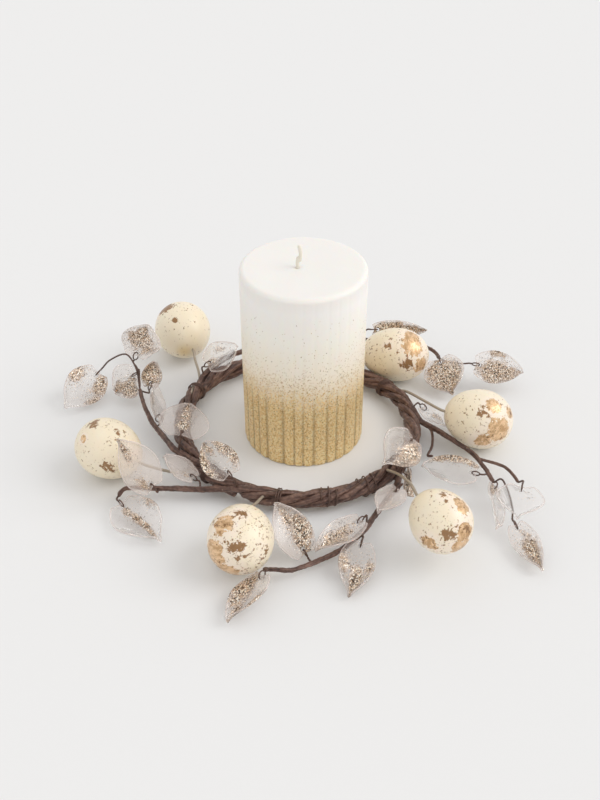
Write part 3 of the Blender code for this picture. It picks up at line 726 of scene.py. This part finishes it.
def eggFinish(number, egg):
    # torn foil patches with darker edges and brown flecks, over a cream shell tinted round them
    look = eggLook
    finish = Finish(f"foiledShell{number}", Coat_Roughness=0.2, Subsurface_Weight=0.12,
                    Subsurface_Scale=0.003, Subsurface_Radius=(1.0, 0.6, 0.3))
    place = finish.add("ShaderNodeMapping", None, {
        "Vector": finish.place, "Rotation": (number * 1.3, number * 0.7, number * 2.1)})[0]
    stretched = finish.add("ShaderNodeMapping", None, {
        "Vector": place, "Scale": (1.0, 0.45, 1.4)})[0]
    torn = finish.noise(185, 6, stretched, 0.7)
    fine = finish.noise(420, 4, place, 0.6)
    heavy = 0.1 * egg["speckle"]
    laid = finish.smooth(finish.mark("orange"), 0.2, 0.85) * 0.27 + torn * 0.55 + fine * 0.45
    foil = finish.smooth(laid, 0.645, 0.66)
    edge = finish.smooth(laid, 0.655, 0.69, 1.0, 0.0)
    brown = finish.smooth(finish.mark("brown") * 0.2 + torn * 0.5 + fine * 0.5,
                          0.63 - heavy * 0.6, 0.65)
    flecks = finish.smooth(finish.noise(640, 3, place, 0.55), 0.62 - heavy, 0.65)
    flecks = flecks * finish.smooth(torn, 0.47 - heavy, 0.58)
    mask = finish.most(brown, flecks)
    cream = finish.mix(finish.noise(45, 2, place), look["cream"], look["pale"])
    cream = finish.mix(finish.smooth(finish.mark("orange"), 0.05, 0.4, 0.0, 0.6), cream,
                       look[egg.get("tint", "blush")])
    streaks = finish.smooth(finish.noise(340, 5, stretched, 0.7), 0.38, 0.62)
    gilt = finish.mix(streaks, look["foil"], look["deepFoil"])
    gilt = finish.mix(edge * 0.5, gilt, look["deepFoil"])
    dark = finish.mix(finish.noise(620, 2, place), look["brown"], rgb(0.36, 0.20, 0.08))
    colour = finish.mix(mask, finish.mix(foil, cream, gilt), dark)
    metal = finish.most(foil * 0.5, mask * 0.3)
    finish.feed(Base_Color=colour, Metallic=metal,
                Roughness=finish.smooth(fine + metal * 0.3, 0.3, 0.9, 0.44, 0.26),
                Coat_Weight=finish.smooth(torn, 0.2, 0.8, 0.15, 0.35),
                Normal=finish.bump(finish.most(foil, mask) * 0.5 + fine * 0.25, 0.35, 0.2 * mm))
    return finish.material


stemLook = {"radius": 0.85 * mm, "groove": 3.4 * mm, "bend": rgb(0.30, 0.24, 0.18),
            "pale": rgb(0.50, 0.43, 0.34), "depth": 4.5 * mm}


def makeEggs():
    stem = wireFinish("wrappedWire", stemLook["bend"], stemLook["pale"])
    for number, egg in eggs.items():
        makePiece(f"egg_{number}_foiled", [eggShell(egg)], eggFinish(number, egg), "wreath",
                  [f"egg_{number}"])
        axes, centre = eggAxes(egg), np.array(egg["centre"]) * mm
        half = egg["size"][1] / 2 * mm
        on, off, phase = egg["wound"]
        wound = winding(on, off, phase, stemLook["groove"], 3)
        mouth = centre - axes[:, 2] * (half + 2 * mm)
        seat = centre - axes[:, 2] * (half - stemLook["depth"])
        path = smoothPath(np.vstack([wound, np.array(egg["via"]) * mm, mouth, seat]), 0.5 * mm)
        rings = tubeRings(path, closedEnds(path, stemLook["radius"], 0.6 * mm), 14, (0, 0, 1),
                          lambda points, along, angle: 0.06 * mm
                          * ((along / (2.2 * mm) + angle / turn) % 1) ** 3)
        makePiece(f"egg_{number}_wire", [shell(rings)], stem, "wreath",
                  [f"egg_{number}_stem"])
    print("eggs made")


# leaves on their wire hooks

leafLook = {
    "thick": 0.8 * mm, "bead": 0.5 * mm, "hook": 2.4 * mm, "hole": 1.15 * mm, "free": 0.2 * mm,
    "cup": 2.8 * mm, "lobe": 1.8 * mm, "outline": 132, "across": 18, "flake": 0.6 * mm,
    "rim": 0.8 * mm, "vein": 0.25 * mm, "wave": 0.35 * mm, "open": 0.4, "index": 1.3,
    "clear": rgb(0.985, 0.955, 0.94), "milk": rgb(0.88, 0.79, 0.74),
    "edge": rgb(0.90, 0.80, 0.75), "dust": rgb(0.64, 0.48, 0.36),
}
hookWire = {"wire": 0.34 * mm, "pair": 0.3 * mm, "lay": 2.6 * mm}

# each leaf's hook and tip in mm, roll in degrees, width in mm, milkiness, and its glitter spots:
# along the leaf from 0 to 1, across from -1 to 1, size and density; some have a cup in mm, a twist
# in degrees or points in mm that their wire passes
leaves = named(("hook", "tip", "roll", "width", "milk", "glitter"), {
    "a1": ((-111, 31, 21), (-126, 31, 6), -50, 25, 0.12, [(0.45, 0.4, 0.42, 0.85),
           (0.9, 0.0, 0.4, 0.85)]),
    "a2": ((-101, 26, 15), (-99, 40, 26), 40, 15, 0.15, [(0.5, 0.2, 0.8, 0.85)]),
    "a3": ((-111, 42, 28), (-103, 58, 43), -10, 28, 0.22, [(0.6, 0.2, 0.45, 0.8),
           (0.25, -0.5, 0.35, 0.55)], {"twist": 40, "via": [(-109, 33, 23)]}),
    "a4": ((-137, 40, 16), (-156, 14, 6), -35, 27, 0.1, [(0.1, 0.6, 0.36, 0.75),
           (0.3, -0.8, 0.32, 0.6), (0.5, 0.9, 0.25, 0.5)], {"cup": 3,
           "via": [(-110, 33, 24), (-117, 41, 30), (-128, 42, 25)]}),
    "a5": ((-92, -4, 12), (-97, 20, 22), 60, 18, 0.2, [(0.5, 0.6, 0.3, 0.55)]),
    "a6": ((-75, -29, 18), (-71, -11, 30), 10, 32, 0.22, [(0.3, 0.0, 0.17, 0.85),
           (0.6, 0.0, 0.17, 0.9), (0.9, 0.0, 0.2, 0.9)]),
    "b1": ((-106, -78, 7), (-80, -106, 5), 10, 28, 0.04, [(0.2, -0.1, 0.13, 0.85),
           (0.4, 0.0, 0.12, 0.95), (0.6, 0.05, 0.12, 0.95), (0.8, 0.0, 0.12, 0.85),
           (0.3, 0.95, 0.2, 0.5)], {"cup": 4}),
    "b2": ((-88, -69, 12), (-106, -65, 45), -35, 25, 0.25, [(0.85, 0.1, 0.24, 0.95),
           (0.12, 0.4, 0.2, 0.55)]),
    "b3": ((-65, -61, 12), (-84, -49, 19), -5, 15, 0.3, [(0.15, 0.3, 0.2, 0.4)]),
    "b4": ((-43, -66, 19), (-60, -47, 28), -10, 23, 0.06, [(0.9, 0.0, 0.28, 0.85),
           (0.6, 0.9, 0.3, 0.85), (0.3, 0.9, 0.25, 0.7), (0.6, -0.9, 0.3, 0.85),
           (0.25, -0.8, 0.25, 0.7)]),
    "c1": ((1, -118, 7), (-16, -98, 27), -15, 22, 0.25, [(0.35, -0.5, 0.36, 0.95),
           (0.15, -0.2, 0.3, 0.85), (0.65, -0.2, 0.35, 0.6)]),
    "c2": ((-22, -139, 12), (-40, -165, 5), 20, 20, 0.15, [(0.35, -0.5, 0.42, 0.9),
           (0.9, 0.0, 0.36, 0.9), (0.5, 0.95, 0.25, 0.65)]),
    "c3": ((32, -100, 15), (6, -121, 12), -5, 18, 0.22, [(0.6, 0.0, 0.5, 0.7)]),
    "c4": ((32, -113, 10), (24, -147, 4), -10, 21, 0.08, [(0.75, 0.2, 0.34, 0.98),
           (0.45, -0.7, 0.26, 0.7), (0.45, 0.7, 0.22, 0.6)]),
    "c5": ((55, -73, 14), (42, -91, 12), 0, 18, 0.3, [(0.4, 0.2, 0.3, 0.15)]),
    "c6": ((61, -61, 17), (63, -75, 9), 80, 12, 0.2, [(0.5, 0.0, 0.8, 0.9)]),
    "c7": ((66, -39, 24), (46, -66, 27), -35, 27, 0.08, [(0.3, 0.5, 0.38, 0.75),
           (0.6, 0.7, 0.32, 0.7)]),
    "d1": ((103, -55, 10), (71, -45, 8), -20, 20, 0.0, [(0.15, -0.9, 0.2, 0.75),
           (0.4, -0.9, 0.2, 0.85), (0.65, -0.9, 0.2, 0.85)], {"cup": 3}),
    "d2": ((112, -67, 11), (110, -99, 7), -45, 14, 0.08, [(0.08, -0.4, 0.26, 0.75),
           (0.06, 0.5, 0.22, 0.6)], {"cup": 3}),
    "d3": ((126, -76, 18), (120, -98, 14), 0, 28, 0.0, [(0.15, 0.3, 0.2, 0.25)], {"cup": 3}),
    "d4": ((120, -98, 9), (130, -129, 5), 20, 16, 0.12, [(0.6, 0.1, 0.45, 0.8)],
           {"via": [(117, -64, 13), (119, -79, 13), (119, -90, 12)]}),
    "d5": ((77, 6, 13), (95, -8, 6), 5, 14, 0.03, [(0.5, 0.0, 0.35, 0.4)]),
    "e1": ((92, 54, 17), (99, 29, 6), 25, 28, 0.2, [(0.6, 0.0, 0.6, 0.95), (0.2, -0.3, 0.4, 0.7)]),
    "e2": ((116, 48, 17), (148, 43, 14), 35, 24, 0.1, [(0.5, -0.3, 0.55, 0.88),
           (0.4, 0.9, 0.22, 0.6)], {"via": [(97, 53, 16), (106, 49, 17)]}),
    "e3": ((49, 80, 24), (86, 79, 24), 60, 14, 0.15, [(0.25, 0.0, 0.6, 0.95),
           (0.8, 0.0, 0.5, 0.95)], {"via": [(41, 83, 19)]}),
    "e4": ((-64, 44, 20), (-44, 55, 28), 15, 24, 0.03, [(0.5, 0.5, 0.3, 0.3),
           (0.1, 0.0, 0.2, 0.55)]),
})


def leafAxes(leaf):
    # columns: from the hook to the tip, across the leaf, and square to it, rolled about the first
    hook, tip = np.array(leaf["hook"], float), np.array(leaf["tip"], float)
    along = unit(tip - hook)
    side = unit(np.cross([0, 0, 1.0], along))
    up = np.cross(along, side)
    roll = math.radians(leaf["roll"])
    return np.stack([along, side * math.cos(roll) + up * math.sin(roll),
                     up * math.cos(roll) - side * math.sin(roll)], 1), hook * mm, \
        np.linalg.norm(tip - hook) * mm


def halfWidth(t):
    # blunt base and pointed tip: sin(pi u^0.72)^0.75 with u a little ahead of t
    u = np.clip(t * 0.95 + 0.05, 0, 1)
    return np.maximum(np.sin(math.pi * u ** 0.72), 0) ** 0.75 * (1 - 0.25 * ease((t - 0.75) / 0.25))


def leafShell(leaf, seed):
    look = leafLook
    axes, origin, length = leafAxes(leaf)
    half = leaf["width"] / 2 * mm - look["bead"]
    end = length - look["bead"] - look["free"]
    start = look["free"] + look["bead"]
    cup, twist = leaf.get("cup", look["cup"] / mm) * mm, math.radians(leaf.get("twist", 0))

    # the outline, point by point round the leaf, with two lobes drawn back past the hook
    q = np.linspace(0, turn, look["outline"], endpoint=False)
    t = (1 - np.cos(q)) / 2
    y = half * halfWidth(t) * np.sign(np.sin(q)) * (np.abs(np.sin(q)) > 1e-9)
    x = start + (end - start) * t
    x -= look["lobe"] * np.exp(-(t / 0.12) ** 2) * np.clip(np.abs(y) / (0.45 * half), 0, 1) ** 2
    outline = np.stack([x, y], 1)
    middle = np.array([look["hook"], 0])
    angle = np.arctan2(*(outline - middle).T[::-1])
    hole = middle + look["hole"] * np.stack([np.cos(angle), np.sin(angle)], 1)

    # the sheet between the hole and the outline; share runs from 0 at the hole to 1 at the edge
    share = 1 - (1 - np.linspace(0, 1, look["across"])) ** 1.4
    flat = hole[:, None] + (outline - hole)[:, None] * share[None, :, None]
    t = np.clip((flat[..., 0] - start) / (end - start), 0, 1)
    across = np.clip(flat[..., 1] / (half * np.maximum(halfWidth(t), 0.12)), -1, 1)
    free = ease((t - 0.12) / 0.5)
    wave = look["wave"] * free * np.abs(across) ** 2 * np.sin(7 * t + seed * 1.7 + across)
    z = cup * free * (np.abs(across) ** 2 - 0.35) + wave \
        - look["vein"] * free * np.exp(-(across / 0.12) ** 2)
    sheet = np.stack([flat[..., 0], flat[..., 1] * np.cos(twist * free) - z * np.sin(twist * free),
                      flat[..., 1] * np.sin(twist * free) + z * np.cos(twist * free)], -1)
    outward = unit(np.gradient(sheet, axis=1))
    onward = np.roll(sheet, -1, 0) - np.roll(sheet, 1, 0)
    normal = unit(np.cross(outward, onward))
    edge = np.linalg.norm(sheet - sheet[:, -1:], axis=2)
    sheetHalf = look["thick"] / 2
    thick = sheetHalf + (look["bead"] - sheetHalf) * np.exp(-(edge / look["rim"]) ** 2)
    thick = thick * (0.7 + 0.3 * ease(share[None, :] / 0.1))
    front, back = sheet + normal * thick[..., None], sheet - normal * thick[..., None]
    bead = np.linspace(math.pi / 2, -math.pi / 2, 9)[1:-1][None, :, None]
    rim = sheet[:, -1:] + look["bead"] * (outward[:, -1:] * np.cos(bead)
                                          + normal[:, -1:] * np.sin(bead))
    section = np.concatenate([front, rim, back[:, ::-1]], 1)

    dense = np.zeros(t.shape)
    for alongAt, acrossAt, size, strength in leaf["glitter"]:
        near = ((t - alongAt) ** 2 + (across - acrossAt) ** 2 * 0.4) / size ** 2
        dense = np.maximum(dense, strength * np.exp(-near))
    edge = np.exp(-(edge / (0.6 * mm)) ** 2)

    def wholeSection(values):
        return np.concatenate([values, np.repeat(values[:, -1:], 7, 1), values[:, ::-1]], 1)

    return shell(section @ axes.T + origin, closed=True, glitter=wholeSection(dense),
                 edge=wholeSection(edge), milk=leaf["milk"])


def hookPath(leaf):
    # straight along the stalk, then nearly once round in the plane across the leaf
    axes, origin, _ = leafAxes(leaf)
    radius = leafLook["hook"]
    angle = np.radians(np.linspace(190, 536, 44))
    circle = np.stack([radius * np.cos(angle), 0.16 * mm * np.linspace(-1, 1, 44),
                       radius * np.sin(angle)], 1)
    return circle @ axes.T + origin, axes, origin


def leafWires(letter, wires):
    # a twisted pair from the sprig to each hook, which is one round wire
    path, _ = sprigPath(letter)
    for points, _ in sprigs[letter].get("twigs", []):
        path = np.vstack([path[:-1], smoothPath(np.array(points) * mm, 0.6 * mm), path[-1:]])
    shells = []
    for name, leaf in leaves.items():
        if name[0] != letter:
            continue
        circle, axes, origin = hookPath(leaf)
        stalk = np.array([[-leafLook["hook"] - 2.2 * mm, 0, 0],
                          [-leafLook["hook"] + 0.1 * mm, 0, -0.3 * mm]]) @ axes.T + origin
        via = np.array(leaf.get("via", np.zeros((0, 3)))).reshape(-1, 3) * mm
        first = via[0] if len(via) else stalk[0]
        root = path[np.linalg.norm(path - first, axis=1).argmin()]
        way = smoothPath(np.vstack([root, via, stalk]), 0.3 * mm)

        def pair(points, along, angle):
            twisted = np.abs(np.cos(angle - along * turn / hookWire["lay"]))
            return hookWire["pair"] * (twisted - 0.25)

        shells.append(shell(tubeRings(way, closedEnds(way, hookWire["wire"] * 1.15, 0.3 * mm), 12,
                                      None, pair)))
        shells.append(shell(tubeRings(circle, closedEnds(circle, hookWire["wire"] * 1.2, 0.3 * mm),
                                      10, axes[:, 1])))
    makePiece(f"sprig_{letter}_wires", shells, wires, "wreath", ())


def leafFinish():
    # clear acrylic that is mostly open, a little milky, with a warm edge and glitter fixed on it
    look = leafLook
    finish = Finish("glitteredAcrylic", Specular_IOR_Level=0.6)
    clear = finish.add("ShaderNodeBsdfPrincipled")["BSDF"]
    finish.setShader(clear.socket.node, {
        "Base Color": look["clear"], "Roughness": 0.05, "IOR": look["index"],
        "Transmission Weight": 1.0, "Alpha": look["open"]})
    edge, dense = finish.mark("edge"), finish.mark("glitter")
    blotch = finish.noise(220, 4)
    cover = dense * 1.15 + (blotch - 0.5) * finish.smooth(dense, 0.05, 0.4, 0.0, 1.1)
    reach, here, shade, tilt = goldFlakes(finish, look["flake"], 3)
    flake = (here < cover) * (reach < finish.smooth(cover, 0.2, 0.8, 0.4, 0.7))
    colour = finish.ramp(shade, [
        (0.0, (0.02, 0.012, 0.008)), (0.28, (0.10, 0.06, 0.035)), (0.4, (0.42, 0.28, 0.18)),
        (0.65, (0.80, 0.60, 0.43)), (0.8, (1.0, 0.90, 0.76)), (1.0, (1.0, 0.97, 0.92))])
    dusty = finish.smooth(cover, 0.15, 0.7, 0.0, 0.8)
    milk = finish.mix(edge * 0.8, look["milk"], look["edge"])
    milk = finish.mix(dusty, milk, look["dust"])
    solid = finish.most(edge * 0.34, finish.mark("milk") * 0.95 + (blotch - 0.5) * 0.12)
    solid = finish.most(flake, finish.most(solid, dusty * 0.85))
    finish.feed(Base_Color=finish.mix(flake, milk, colour), Metallic=flake * 0.6,
                Roughness=finish.smooth(flake, 0.0, 1.0, 0.2, 0.3),
                Normal=finish.bump(tilt * flake, 0.8, 0.3 * mm))
    mixed = finish.add("ShaderNodeMixShader", None, {0: solid, 1: clear})[0]
    finish.tree.links.new(finish.shader.outputs[0], mixed.socket.node.inputs[2])
    finish.tree.links.new(mixed.socket, finish.output.inputs["Surface"])
    return finish.material


def makeLeaves(wires):
    acrylic = leafFinish()
    for seed, (name, leaf) in enumerate(leaves.items()):
        makePiece(f"leaf_{name}_acrylic", [leafShell(leaf, seed)], acrylic, f"leaf_{name}",
                  [f"leaf_{name}"])
    for letter in sprigs:
        leafWires(letter, wires)
    print("leaves made")


# stage, light and camera

stageLook = {"half": 8.0, "below": 0.05 * mm, "floor": rgb(0.80, 0.80, 0.80), "sun": 1.0,
             "sunWidth": 40, "sunFrom": (2.0, -0.1, 1.7), "fill": 0.87}


def makeStage():
    half = stageLook["half"]
    mesh = bpy.data.meshes.new("floor")
    mesh.from_pydata([(-half, -half, 0), (half, -half, 0), (half, half, 0), (-half, half, 0)],
                     [], [(0, 1, 2, 3)])
    floor = bpy.data.objects.new("floor", mesh)
    floor.location.z = -stageLook["below"]
    bpy.context.scene.collection.objects.link(floor)
    paper = Finish("palePaper", Roughness=0.9, Specular_IOR_Level=0.1)
    paper.shader.inputs["Base Color"].default_value = stageLook["floor"]
    mesh.materials.append(paper.material)
    light = bpy.data.lights.new("softbox", "SUN")
    light.energy, light.angle = stageLook["sun"], math.radians(stageLook["sunWidth"])
    lamp = bpy.data.objects.new("softbox", light)
    lamp.location = stageLook["sunFrom"]
    lamp.rotation_euler = (-Vector(stageLook["sunFrom"])).to_track_quat("-Z", "Y").to_euler()
    bpy.context.scene.collection.objects.link(lamp)
    world = bpy.data.worlds.new("studio")
    world.use_nodes = True
    background = world.node_tree.nodes["Background"]
    background.inputs["Color"].default_value = rgb(1.0, 0.99, 0.98)
    background.inputs["Strength"].default_value = stageLook["fill"]
    bpy.context.scene.world = world
    bpy.context.scene.view_settings.view_transform = "Standard"


cameraLook = {"place": (0, -0.5208, 0.4185), "downwards": 37.19, "sensor": 36, "lens": 46.54,
              "shift": -0.0044, "nearest": 0.01}


def makeCamera():
    look = cameraLook
    data = bpy.data.cameras.new("camera")
    data.sensor_fit, data.sensor_height, data.lens = "VERTICAL", look["sensor"], look["lens"]
    data.shift_x, data.clip_start = look["shift"], look["nearest"]
    camera = bpy.data.objects.new("camera", data)
    camera.location = look["place"]
    camera.rotation_euler = (math.pi / 2 - math.radians(look["downwards"]), 0, 0)
    bpy.context.scene.collection.objects.link(camera)
    bpy.context.scene.camera = camera


makeCandle()
makeWick()
makeRing(barkFinish())
wires = wireFinish("brownWire", bindingLook["colour"], rgb(0.16, 0.09, 0.065))
bindings(wires)
makeEggs()
makeLeaves(wires)
makeStage()
makeCamera()
